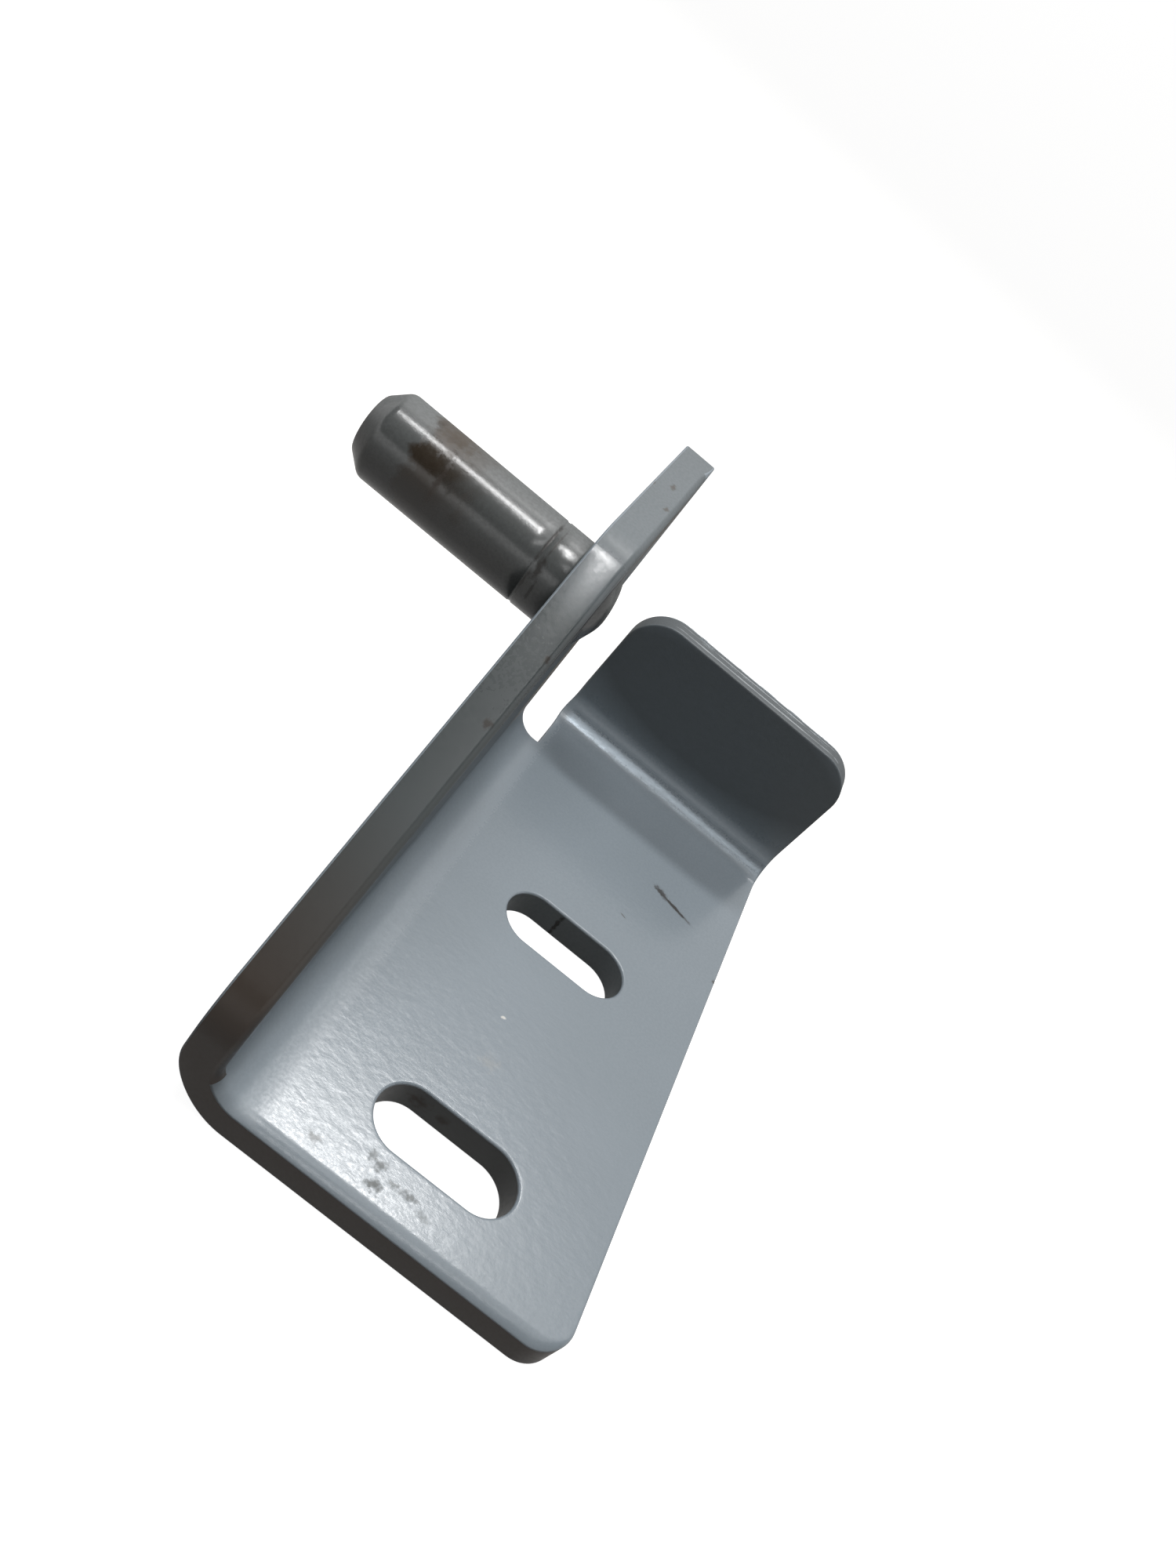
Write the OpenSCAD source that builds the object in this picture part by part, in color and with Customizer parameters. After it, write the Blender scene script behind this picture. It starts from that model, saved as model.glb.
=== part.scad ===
// Mounting bracket: one thick plate folded twice, with a round pivot pin riveted through its side ear.
// Drawn with x across the base, y from the front edge to the rear tab and z up from the underside.
// The finished part is then turned and moved to its datum: the centre between the two slots, on the underside.

/* [Plate] */
// Thickness of the folded plate
plate_t = 5; // [3:0.1:8]
// Inside radius of both folds
fold_r = 4.3; // [3:0.1:12]
// How much larger the outside radius of a fold is than one about the same centre, as the plate thins there
fold_ease = 0.7; // [0.1:0.1:2]
// Rounding that shearing leaves along one edge of the plate
edge_r = 1.4; // [0.4:0.1:2]

/* [Base] */
// Width of the base, from the flange's outer face to the free side
base_w = 55.5; // [48:0.1:80]
// Depth of the base, from the front edge to the front face of the tab
base_d = 104.7; // [100:0.1:160]
// Radius of the free front corner, seen from above
corner_r = 5; // [2:0.5:8]

/* [Slots] */
// Width of each fixing slot
slot_w = 10; // [6:0.5:12]
// Length of each fixing slot, end to end
slot_l = 21; // [14:0.5:26]
// Distance from the flange's outer face to the middle of the slots
slot_x = 31.7; // [28:0.1:36]
// Distance from the front edge to the middle of the front slot
slot_y = 14.2; // [12:0.1:20]
// Spacing of the two slots
slot_pitch = 42.5; // [30:0.5:60]
// Rounding of the upper rim of each slot
slot_rim = 0.4; // [0.1:0.1:0.8]

/* [Side flange] */
// Distance from the front edge to the flange's rear edge
flange_d = 92.5; // [84:0.5:94]
// Height of the flange's upright front edge above the fold
front_h = 3.4; // [0.2:0.1:6]
// Radius that rounds the front edge into the sloping edge
shoulder_r = 10; // [6:0.5:16]
// Radius of the ear round the pin
ear_r = 10.5; // [8:0.5:16]

/* [Rear tab] */
// Distance from the flange's outer face to the tab's near edge
tab_x = 10.3; // [7:0.1:16]
// Height of the tab above the underside
tab_h = 30.8; // [24:0.1:45]
// Radius of the tab's two top corners
tab_r = 7; // [3:0.5:10]

/* [Pivot pin] */
// Diameter of the pin
pin_d = 12; // [8:0.5:16]
// Length of the pin outside the flange
pin_l = 30.5; // [20:0.5:50]
// Distance from the front edge to the pin's axis
pin_y = 58.5; // [50:0.5:75]
// Height of the pin's axis above the underside
pin_z = 49.3; // [42:0.1:60]
// Length of the bevel at the free end
bevel_l = 2.4; // [0.5:0.1:4]
// Depth of the bevel at the free end, across the axis
bevel_r = 2.1; // [0.5:0.1:3]
// Diameter of the tenon that fills the hole in the ear
tenon_d = 9; // [6:0.5:10]
// Diameter of the hammered head on the ear's inner face
head_d = 10.6; // [10.2:0.1:14]
// Height of the hammered head
head_h = 1.5; // [0.6:0.1:2.5]

/* [Hidden] */
$fn = 96;
// Extra length of every cutter past the face that it opens
over = 1;
// Distance from a fold's outer faces to its centre, and so to where the flat plate begins
fold_out = plate_t + fold_r;
// Datum of the part: the middle between the two slots
datum_x = slot_x;
datum_y = slot_y + slot_pitch / 2;
// The shoulder's and the ear's centres in the plane of the flange, and the slope of the line that touches both arcs
shoulder_c = [shoulder_r, fold_out + front_h];
ear_c = [pin_y, pin_z];
centre_line = ear_c - shoulder_c;
slope_a = atan2(centre_line.y, centre_line.x) - asin((shoulder_r - ear_r) / norm(centre_line));
slope_out = [-sin(slope_a), cos(slope_a)];
flange_top = pin_z + ear_r;
// Depth of the sloping edge below the line that touches both arcs, so that it crosses them instead of touching them
arc_step = 0.02;
// Angle by which the rounding of an arc's rim runs on past the point where the line touches it
run_on = 3;
// Radius of the ball that the hammered head is a cap of
head_ball = (head_d * head_d / 4 + head_h * head_h) / (2 * head_h);

// A quarter-round cutter for the corner at the origin: it takes what lies outside a circle that touches both sides
module corner_cut(r) {
    translate([-r, -r]) difference() {
        square([r + over, r + over]);
        circle(r = r);
    }
}

// Outline of the flange above its fold: x to the rear, y up
module flange_outline() {
    polygon([
        [0, fold_out],
        [0, shoulder_c.y],
        [shoulder_r / 2, shoulder_c.y],
        shoulder_c + (shoulder_r - arc_step) * slope_out,
        ear_c + (ear_r - arc_step) * slope_out,
        [pin_y, flange_top - ear_r / 2],
        [pin_y, flange_top],
        [flange_d, flange_top],
        [flange_d, fold_out]
    ]);
    intersection() {
        translate(shoulder_c) circle(r = shoulder_r);
        translate([-over, fold_out]) square([shoulder_c.x + over, flange_top]);
    }
    translate(ear_c) circle(r = ear_r);
}

// Cutter that rounds a straight edge of the flange's inner face, from p to q, the plate lying on the right
module edge_rounding(p, q) {
    way = q - p;
    translate([p.x, p.y, plate_t]) rotate([0, 0, atan2(way.y, way.x)])
        rotate([90, 0, 90]) linear_extrude(norm(way)) corner_cut(edge_r);
}

// Cutter that rounds the rim of an arc of radius r about c, from angle a0, a multiple of 90, over the angle turn
module rim_rounding(c, r, a0, turn) {
    side = turn < 0 ? 1 : 0;
    translate([c.x, c.y, plate_t]) rotate([0, 0, a0]) mirror([0, side])
        rotate_extrude(angle = abs(turn)) translate([r, 0]) corner_cut(edge_r);
}

// The upright part of the flange, drawn flat: x to the rear, y up, z from the outer to the inner face
module flange_flat() {
    along = [cos(slope_a), sin(slope_a)];
    lap = ear_r * sin(run_on) / 2;
    difference() {
        linear_extrude(plate_t) flange_outline();
        edge_rounding([0, fold_out], [0, shoulder_c.y]);
        rim_rounding(shoulder_c, shoulder_r, 180, slope_a - 90 - run_on);
        edge_rounding(shoulder_c + shoulder_r * slope_out + lap * along, ear_c + ear_r * slope_out - lap * along);
        rim_rounding(ear_c, ear_r, 90, slope_a + run_on);
        edge_rounding([pin_y, flange_top], [flange_d + over, flange_top]);
    }
}

// The fold between the base and the flange, with the front edge's rounding carried round its inside
module flange_fold() {
    translate([fold_out, 0, fold_out]) rotate([-90, 0, 0]) rotate([0, 0, 90])
        rotate_extrude(angle = 90) difference() {
            translate([fold_r, 0]) square([plate_t, flange_d]);
            translate([fold_r, 0]) mirror([1, 0]) mirror([0, 1]) corner_cut(edge_r);
        }
}

// Cutter that eases the outside of a fold, length long: x across the corner, the plate in the (-, -) quadrant
module fold_easing(length) {
    linear_extrude(length) corner_cut(fold_out + fold_ease);
}

// The flat base between the two folds, its front edge rounded above, notched behind the flange as far as the tab
module base_flat() {
    difference() {
        translate([fold_out, 0, 0]) rotate([90, 0, 90]) linear_extrude(base_w - fold_out) difference() {
            square([flange_d, plate_t]);
            translate([0, plate_t]) mirror([1, 0]) corner_cut(edge_r);
        }
        translate([base_w, 0, -over]) linear_extrude(plate_t + 2 * over)
            mirror([0, 1]) corner_cut(corner_r);
    }
    translate([tab_x, flange_d, 0]) cube([base_w - tab_x, base_d - fold_r - flange_d, plate_t]);
}

// The fold between the base and the tab
module tab_fold() {
    translate([0, base_d - fold_r, fold_out]) rotate([0, 90, 0])
        rotate_extrude(angle = 90) translate([fold_r, tab_x]) square([plate_t, base_w - tab_x]);
}

// The upright tab, its rear top edge rounded and its two top corners cut round
module tab_flat() {
    difference() {
        translate([tab_x, base_d, fold_out]) rotate([90, 0, 90]) linear_extrude(base_w - tab_x) difference() {
            square([plate_t, tab_h - fold_out]);
            translate([plate_t, tab_h - fold_out]) corner_cut(edge_r);
        }
        translate([0, base_d + plate_t + over, 0]) rotate([90, 0, 0]) linear_extrude(plate_t + 2 * over) {
            translate([base_w, tab_h]) corner_cut(tab_r);
            translate([tab_x, tab_h]) mirror([1, 0]) corner_cut(tab_r);
        }
    }
}

// Half the section of a slot cutter, from the slot's middle plane outwards, with the upper rim flared
module slot_half_section() {
    difference() {
        union() {
            translate([0, -over]) square([slot_w / 2, plate_t + 2 * over]);
            translate([slot_w / 2, plate_t - slot_rim]) square([slot_rim, slot_rim + over]);
        }
        translate([slot_w / 2 + slot_rim, plate_t - slot_rim]) circle(r = slot_rim);
    }
}

// One slot cutter, its length along x and its middle at the origin
module slot_cut() {
    half = (slot_l - slot_w) / 2;
    for (side = [0, 1]) {
        mirror([side, 0, 0]) translate([half, 0, 0]) rotate([0, 0, -90])
            rotate_extrude(angle = 180) slot_half_section();
        mirror([0, side, 0]) translate([half, 0, 0]) rotate([90, 0, -90])
            linear_extrude(2 * half) slot_half_section();
    }
}

// Turns and moves the drawn part so that its datum lies at the origin
module at_datum() {
    rotate([0, 0, -90]) translate([-datum_x, -datum_y, 0]) children();
}

module folded_plate() {
    color("LightSlateGray") at_datum() difference() {
        union() {
            base_flat();
            flange_fold();
            rotate([90, 0, 90]) flange_flat();
            tab_fold();
            tab_flat();
        }
        translate([0, flange_d, 0]) rotate([90, 0, 0]) rotate([0, 0, 180]) fold_easing(flange_d + over);
        translate([tab_x - over, base_d + plate_t, 0]) rotate([90, 0, 90]) mirror([0, 1])
            fold_easing(base_w - tab_x + 2 * over);
        for (i = [0, 1]) translate([slot_x, slot_y + i * slot_pitch, 0]) slot_cut();
        translate([-over, pin_y, pin_z]) rotate([0, 90, 0]) cylinder(d = tenon_d, h = plate_t + 2 * over);
    }
}

// The pin, drawn as one turned profile: the free end is down and the hammered head is up
module pivot_pin() {
    color("DimGray") at_datum() translate([0, pin_y, pin_z]) rotate([0, 90, 0]) {
        rotate_extrude() polygon([
            [0, -pin_l],
            [pin_d / 2 - bevel_r, -pin_l],
            [pin_d / 2, bevel_l - pin_l],
            [pin_d / 2, 0],
            [tenon_d / 2, 0],
            [tenon_d / 2, plate_t],
            [0, plate_t]
        ]);
        translate([0, 0, plate_t]) rotate_extrude() intersection() {
            square([head_d / 2, head_h]);
            translate([0, head_h - head_ball]) circle(r = head_ball, $fn = 180);
        }
    }
}

folded_plate();
pivot_pin();
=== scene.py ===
"""Mounting bracket: one thick folded plate in silver-grey paint, with a round steel pin riveted through its side ear.

Lengths are in millimetres until a mesh is finished. The frame is the part's own: x runs from the front edge to the
rear tab, y towards the flange and out along the pin, z up from the underside, and the origin lies between the slots.
"""

import logging
import math
from dataclasses import dataclass
from enum import Enum
from functools import partial

import bmesh
import bpy
from mathutils import Matrix, Vector, noise


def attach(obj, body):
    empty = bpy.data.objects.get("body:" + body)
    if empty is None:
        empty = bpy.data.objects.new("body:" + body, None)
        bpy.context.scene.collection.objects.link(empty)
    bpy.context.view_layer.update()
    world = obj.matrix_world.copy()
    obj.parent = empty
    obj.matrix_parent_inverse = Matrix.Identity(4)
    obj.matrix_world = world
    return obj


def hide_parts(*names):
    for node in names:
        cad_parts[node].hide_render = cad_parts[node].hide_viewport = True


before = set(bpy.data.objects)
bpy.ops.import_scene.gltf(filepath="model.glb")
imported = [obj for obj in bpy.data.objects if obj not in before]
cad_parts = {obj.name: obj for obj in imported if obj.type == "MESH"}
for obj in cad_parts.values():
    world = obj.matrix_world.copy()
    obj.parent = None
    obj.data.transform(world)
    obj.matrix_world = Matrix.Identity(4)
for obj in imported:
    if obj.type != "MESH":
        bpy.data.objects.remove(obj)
log = logging.getLogger("bracket")
MM = 0.001
BMesh = bmesh.types.BMesh
Material, Mesh, Object = bpy.types.Material, bpy.types.Mesh, bpy.types.Object
Tree, Node, Socket = bpy.types.NodeTree, bpy.types.Node, bpy.types.NodeSocket
Triple = tuple[float, float, float]


class Slot(Enum):
    """The record's material slots."""

    PLATE = "plate_paint"
    PIN = "pin_steel"


class Face(Enum):
    """What a face of the plate is, and so which finish it takes."""

    PAINTED = 0
    SHEARED = 1


def linear(hex_colour: str) -> tuple[float, float, float, float]:
    """Turns an sRGB hex colour into a linear one.

    Args:
        hex_colour: Six hex digits with a leading #.

    Returns:
        Red, green, blue and an alpha of 1.
    """
    parts = [int(hex_colour[i:i + 2], 16) / 255 for i in (1, 3, 5)]
    red, green, blue = (p / 12.92 if p <= 0.04045 else ((p + 0.055) / 1.055) ** 2.4 for p in parts)
    return red, green, blue, 1.0


def add_node(tree: Tree, kind: str, links: dict | tuple = (), **settings: object) -> Node:
    """Adds one node to a tree.

    Args:
        tree: The tree that gets the node.
        kind: The node's Blender type.
        links: Inputs by name or number, or in order from the first. Each is a socket to link, a node whose first
            output is linked, or a plain value.
        **settings: Properties of the node.

    Returns:
        The new node.
    """
    node = tree.nodes.new(kind)
    for name, value in settings.items():
        setattr(node, name, value)
    for name, value in links.items() if isinstance(links, dict) else enumerate(links):
        value = value.outputs[0] if isinstance(value, Node) else value
        if isinstance(value, Socket):
            tree.links.new(value, node.inputs[name])
        else:
            node.inputs[name].default_value = value
    return node


def emptied(holder: Material | bpy.types.World) -> Tree:
    """Gives a material or a world a node tree with nothing in it.

    Args:
        holder: The material or the world.

    Returns:
        Its tree.
    """
    holder.use_nodes = True
    holder.node_tree.nodes.clear()
    return holder.node_tree


def maths(tree: Tree, operation: str, *values: object, kind: str = "Math", **settings: object) -> Node:
    """Adds one calculation.

    Args:
        tree: The tree that gets it.
        operation: Its operation.
        *values: Its inputs in order, as add_node takes them.
        kind: Math, or VectorMath for one with vectors.
        **settings: Further properties of the node.

    Returns:
        Its node. Its first output is the result, except that LENGTH gives it as Value.
    """
    return add_node(tree, f"ShaderNode{kind}", values, operation=operation, **settings)


def blend(tree: Tree, cover: object, under: object, over: object) -> Socket:
    """Mixes two colours in a material.

    Args:
        tree: The material's tree.
        cover: Share of the upper colour.
        under: Lower colour.
        over: Upper colour.

    Returns:
        The mixed colour.
    """
    return add_node(tree, "ShaderNodeMix", {0: cover, 6: under, 7: over}, data_type="RGBA").outputs[2]


def arc(centre: tuple[float, float], radius: float, start: float, end: float, step: float = 4.0) -> list[Vector]:
    """Samples an arc.

    Args:
        centre: Centre of the arc.
        radius: Radius of the arc.
        start: First angle in degrees.
        end: Last angle in degrees.
        step: Largest angle between two points.

    Returns:
        Points from the first angle to the last, both included.
    """
    count = max(2, math.ceil(abs(end - start) / step))
    angles = [math.radians(start + (end - start) * i / count) for i in range(count + 1)]
    return [Vector((centre[0] + radius * math.cos(a), centre[1] + radius * math.sin(a))) for a in angles]


def smooth_mesh(shape: BMesh, name: str, scale: float = 1.0) -> Mesh:
    """Turns a bmesh into a smooth-shaded mesh and frees it.

    Args:
        shape: The bmesh.
        name: Name of the mesh.
        scale: Size of its unit in metres.

    Returns:
        The mesh.
    """
    bmesh.ops.scale(shape, vec=(scale,) * 3, verts=shape.verts)
    for face in shape.faces:
        face.smooth = True
    made = bpy.data.meshes.new(name)
    shape.to_mesh(made)
    shape.free()
    return made


def shape_tree(name: str, **inputs: str) -> tuple[Tree, bpy.types.bpy_prop_collection]:
    """Starts a Geometry Nodes tree that takes and gives geometry.

    Args:
        name: Name of the tree.
        **inputs: Kind of each further input to its names, parted by commas.

    Returns:
        The tree and the sockets that it is given.
    """
    tree = bpy.data.node_groups.new(name, "GeometryNodeTree")
    tree.interface.new_socket("Geometry", in_out="INPUT", socket_type="NodeSocketGeometry")
    for kind, names in inputs.items():
        for label in names.split(", "):
            tree.interface.new_socket(label, in_out="INPUT", socket_type=f"NodeSocket{kind}")
    tree.interface.new_socket("Geometry", in_out="OUTPUT", socket_type="NodeSocketGeometry")
    return tree, add_node(tree, "NodeGroupInput").outputs


def finished(name: str, mesh: Mesh) -> Object:
    """Puts a mesh into the scene as an object at the origin.

    Args:
        name: Plain name of the piece.
        mesh: Its mesh, with its place in its points.

    Returns:
        The new object.
    """
    mesh.name = name
    piece = bpy.data.objects.new(name, mesh)
    bpy.context.scene.collection.objects.link(piece)
    return piece


def through_nodes(name: str, mesh: Mesh, tree: Tree, values: dict[str, object]) -> Object:
    """Runs a mesh through a Geometry Nodes tree and keeps the plain result.

    Args:
        name: Plain name of the piece.
        mesh: The mesh that goes in.
        tree: The Geometry Nodes tree.
        values: Input name to value.

    Returns:
        A new object with the finished mesh and no modifier.
    """
    carrier = finished(f"{name}_blank", mesh)
    modifier = carrier.modifiers.new("shape", "NODES")
    modifier.node_group = tree
    for item in tree.interface.items_tree:
        if item.item_type == "SOCKET" and item.in_out == "INPUT" and item.name in values:
            modifier[item.identifier] = values[item.name]
    graph = bpy.context.evaluated_depsgraph_get()
    made = bpy.data.meshes.new_from_object(carrier.evaluated_get(graph))
    bpy.data.objects.remove(carrier, do_unlink=True)
    return finished(name, made)


@dataclass(frozen=True)
class Mark:
    """A soft-edged mark on a surface: an ellipsoid in the part's frame, in millimetres, broken up by noise."""

    centre: Triple
    reach: Triple
    colour: str
    strength: float
    grain: float
    ragged: float
    turn: float = 0.0
    core: float = 0.65

    def cover(self, tree: Tree, where: Socket) -> Node:
        """Adds the mark's cover.

        Args:
            tree: The material's tree.
            where: Coordinates in millimetres.

        Returns:
            A node that gives 0 outside the mark and its strength in its core.
        """
        turn = (0, 0, math.radians(self.turn))
        local = add_node(tree, "ShaderNodeMapping", (where, self.centre, turn, self.reach), vector_type="TEXTURE")
        away = maths(tree, "LENGTH", local, kind="VectorMath").outputs["Value"]
        rough = add_node(tree, "ShaderNodeTexNoise", {"Vector": where, "Scale": 1 / self.grain, "Detail": 3.0})
        swing = 3.0 * self.ragged
        bent = maths(tree, "MULTIPLY_ADD", rough, swing, away)
        edge = 1.0 + swing / 2
        return add_node(tree, "ShaderNodeMapRange", (bent, edge, edge * self.core, 0.0, self.strength), clamp=True)


@dataclass(frozen=True)
class Fade:
    """A change along one axis, in millimetres: none up to its start and whole from its end."""

    axis: str
    start: float
    end: float
    dull_by: float = 0.0
    colour: str = ""

    def cover(self, tree: Tree, where: Socket) -> Node:
        """Adds the fade's cover.

        Args:
            tree: The material's tree.
            where: Coordinates in millimetres.

        Returns:
            A node that gives a share from 0 to 1.
        """
        along = add_node(tree, "ShaderNodeSeparateXYZ", (where,)).outputs[self.axis]
        return add_node(tree, "ShaderNodeMapRange", (along, self.start, self.end), clamp=True)


@dataclass(frozen=True)
class Finish:
    """A painted or bare metal finish, with its grain, its blotches, its fades and its marks."""

    name: str
    colour: str
    dark_colour: str
    roughness: float
    specular: float
    metallic: float = 0.0
    spread: float = 0.03
    grain_mm: float = 0.45
    grain_share: float = 0.35
    blotch_mm: float = 16.0
    blotch_share: float = 0.3
    cloud_range: tuple[float, float] = (0.35, 0.65)
    peel_mm: float = 0.7
    peel_depth_mm: float = 0.006
    peel_stretch: Triple = (1.0, 1.0, 1.0)
    peel_detail: float = 2.0
    peel_roughness: float = 0.5
    smooth: Fade | None = None
    smooth_share: float = 0.8
    soil_and_painted_light_dull_by: float = 0.3
    fades: tuple[Fade, ...] = ()
    marks: tuple[Mark, ...] = ()

    def cloud(self, tree: Tree, where: Socket, size: float, detail: float) -> Node:
        """Adds noise of one real size.

        Args:
            tree: The material's tree.
            where: Coordinates in millimetres.
            size: Size of the cells in millimetres.
            detail: How much finer noise lies on it.

        Returns:
            A node that gives a value from 0 to 1.
        """
        grain = add_node(tree, "ShaderNodeTexNoise", {"Vector": where, "Scale": 1 / size, "Detail": detail})
        return add_node(tree, "ShaderNodeMapRange", (grain, *self.cloud_range), clamp=True)

    def tint(self, tree: Tree, where: Socket, colour: Socket) -> Socket:
        """Adds what only this finish has to its colour; the plain finish adds nothing."""
        return colour

    def dulled(self, tree: Tree, where: Socket, rough: Node) -> Node:
        """Adds what only this finish has to its roughness; the plain finish adds nothing."""
        return rough

    def bared(self, tree: Tree, where: Socket) -> object:
        """Returns how metallic the surface is; the plain finish is the same all over."""
        return self.metallic

    def relief(self, tree: Tree, where: Socket) -> Node:
        """Adds the fine unevenness of the surface, such as the orange peel of a coat.

        Args:
            tree: The material's tree.
            where: Coordinates in millimetres.

        Returns:
            A node that gives the bent normal.
        """
        drawn = add_node(tree, "ShaderNodeMapping", {"Vector": where, "Scale": self.peel_stretch})
        waves = add_node(tree, "ShaderNodeTexNoise", {
            "Vector": drawn, "Scale": 1 / self.peel_mm, "Detail": self.peel_detail, "Roughness": self.peel_roughness})
        share: object = 1.0
        if self.smooth:
            flat = self.smooth.cover(tree, where)
            share = maths(tree, "MULTIPLY_ADD", flat, -self.smooth_share, 1.0)
        return add_node(tree, "ShaderNodeBump", {
            "Height": waves, "Strength": share, "Distance": self.peel_depth_mm * MM})

    def material(self) -> Material:
        """Builds the material.

        Returns:
            The finished material.
        """
        made = bpy.data.materials.new(self.name)
        tree = emptied(made)
        place = add_node(tree, "ShaderNodeTexCoord").outputs["Object"]
        where = add_node(tree, "ShaderNodeMapping", {"Vector": place, "Scale": (1 / MM,) * 3}).outputs["Vector"]
        fine = self.cloud(tree, where, self.grain_mm, 1.0)
        broad = self.cloud(tree, where, self.blotch_mm, 3.0)
        amount = maths(tree, "MULTIPLY", fine, self.grain_share)
        amount = maths(tree, "MULTIPLY_ADD", broad, self.blotch_share, amount)
        colour = self.tint(tree, where, blend(tree, amount, linear(self.colour), linear(self.dark_colour)))
        low, high = self.roughness - self.spread, self.roughness + self.spread
        rough = add_node(tree, "ShaderNodeMapRange", (fine, 0.0, 1.0, low, high))
        rough = self.dulled(tree, where, rough)
        for fade in self.fades:
            cover = fade.cover(tree, where)
            rough = maths(tree, "MULTIPLY_ADD", cover, fade.dull_by, rough)
            if fade.colour:
                colour = blend(tree, cover, colour, linear(fade.colour))
        # Every mark dulls the surface: dirt and wear, and the patches of painted shade, painted reflection and
        # painted highlight alike.
        soil_and_painted_light: object = 0.0
        for mark in self.marks:
            cover = mark.cover(tree, where)
            colour = blend(tree, cover, colour, linear(mark.colour))
            soil_and_painted_light = maths(tree, "MAXIMUM", cover, soil_and_painted_light)
        rough = maths(tree, "MULTIPLY_ADD", soil_and_painted_light, self.soil_and_painted_light_dull_by, rough)
        shader = add_node(tree, "ShaderNodeBsdfPrincipled", {
            "Base Color": colour, "Metallic": self.bared(tree, where), "Roughness": rough,
            "Specular IOR Level": self.specular, "Normal": self.relief(tree, where),
        })
        add_node(tree, "ShaderNodeOutputMaterial", {"Surface": shader}, is_active_output=True)
        return made


@dataclass(frozen=True)
class SatinPaint(Finish):
    """Satin silver-grey stoving enamel over steel: an even cool grey with a fine grain and a soft sheen.

    Along the inside of the tab's fold the press has burnished it to a streaky line that shines like bare metal. It is
    duller where the coat gathered along the flange's fold, and its orange peel lies flatter on the flange.
    """

    peel_stretch: Triple = (1.0, 0.6, 1.0)
    peel_detail: float = 3.0
    peel_roughness: float = 0.6
    smooth: Fade | None = Fade("Y", 22.5, 24.5)
    fades: tuple[Fade, ...] = (Fade("Y", 19.4, 22.4, 0.22),)
    burnish_at: Triple = (67.42, 0.0, 6.48)
    burnish_end: Fade = Fade("Y", 20.6, 19.4)
    burnish_mm: float = 1.5
    burnish_core_mm: float = 0.8
    burnish_metal: float = 0.75
    burnish_rough: float = 0.16
    streaks_per_mm: Triple = (4.0, 0.45, 4.0)
    streak_depth_mm: float = 1.6

    def bared(self, tree: Tree, where: Socket) -> object:
        """Makes the burnished line metallic."""
        return maths(tree, "MULTIPLY", self.burnish(tree, where), self.burnish_metal)

    def dulled(self, tree: Tree, where: Socket, rough: Node) -> Node:
        """Roughens the burnished line of the tab's fold."""
        share = self.burnish(tree, where)
        return maths(tree, "MULTIPLY_ADD", share, self.burnish_rough, rough)

    def burnish(self, tree: Tree, where: Socket) -> Node:
        """Adds the burnished line, in streaks along the fold.

        Args:
            tree: The material's tree.
            where: Coordinates in millimetres.

        Returns:
            A node that gives its cover, from 0 to 1.
        """
        away = maths(tree, "SUBTRACT", where, self.burnish_at, kind="VectorMath")
        away = maths(tree, "MULTIPLY", away, (1.0, 0.0, 1.0), kind="VectorMath")
        away = maths(tree, "LENGTH", away, kind="VectorMath").outputs["Value"]
        drawn = add_node(tree, "ShaderNodeMapping", {"Vector": where, "Scale": self.streaks_per_mm})
        streak = add_node(tree, "ShaderNodeTexNoise", {"Vector": drawn, "Scale": 1.0, "Detail": 3.0})
        near = maths(tree, "MULTIPLY_ADD", streak, self.streak_depth_mm, away)
        core = self.burnish_core_mm
        band = add_node(tree, "ShaderNodeMapRange", (near, self.burnish_mm + core, core), clamp=True)
        return maths(tree, "MULTIPLY", band, self.burnish_end.cover(tree, where))


@dataclass(frozen=True)
class ShearedEdge(Finish):
    """Sheared steel edge under a thin coat: smooth round the ear, darker and duller down the slope, brown in front.

    Its fades: the slope's colour, the tab's colour, a brown painted reflection in front, the dull front and level
    top.
    """

    fades: tuple[Fade, ...] = (
        Fade("X", 14.5, 10.0, colour="#53595A"),
        Fade("X", 60.0, 66.0, colour="#555B5E"),
        # Painted reflection: brown towards the front, standing in for the dark brown room that the front edge
        # reflects.
        Fade("X", -12.0, -38.0, colour="#4A3D33"),
        Fade("X", 14.5, -14.5, 0.2),
        Fade("X", 17.5, 20.5, 0.3),
    )


@dataclass(frozen=True)
class WornSteel(Finish):
    """Turned steel gone grey with handling: a dull grey skin with a band of brown grime and dark specks.

    The pin's rear side is less handled, and so duller.
    """

    fades: tuple[Fade, ...] = (Fade("X", 20.2, 21.6, 0.32),)
    grime: str = "#40382F"
    grime_start: Fade = Fade("Y", 58.0, 56.8)
    grime_end: Fade = Fade("Y", 47.0, 54.0)
    ragged_scale: float = 0.5
    ragged_mm: float = 5.0

    def tint(self, tree: Tree, where: Socket, colour: Socket) -> Socket:
        """Adds the band of grime round the pin, ragged at both ends.

        Args:
            tree: The material's tree.
            where: Coordinates in millimetres.
            colour: The colour so far.

        Returns:
            The tinted colour.
        """
        ragged = add_node(tree, "ShaderNodeTexNoise", {"Vector": where, "Scale": self.ragged_scale, "Detail": 4.0})
        push = maths(tree, "MULTIPLY", ragged, self.ragged_mm)
        push = add_node(tree, "ShaderNodeCombineXYZ", {"Y": push})
        moved = maths(tree, "ADD", where, push, kind="VectorMath").outputs[0]
        ends = (self.grime_start.cover(tree, moved), self.grime_end.cover(tree, moved))
        cover = maths(tree, "MULTIPLY", *ends)
        return blend(tree, cover, colour, linear(self.grime))


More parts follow.
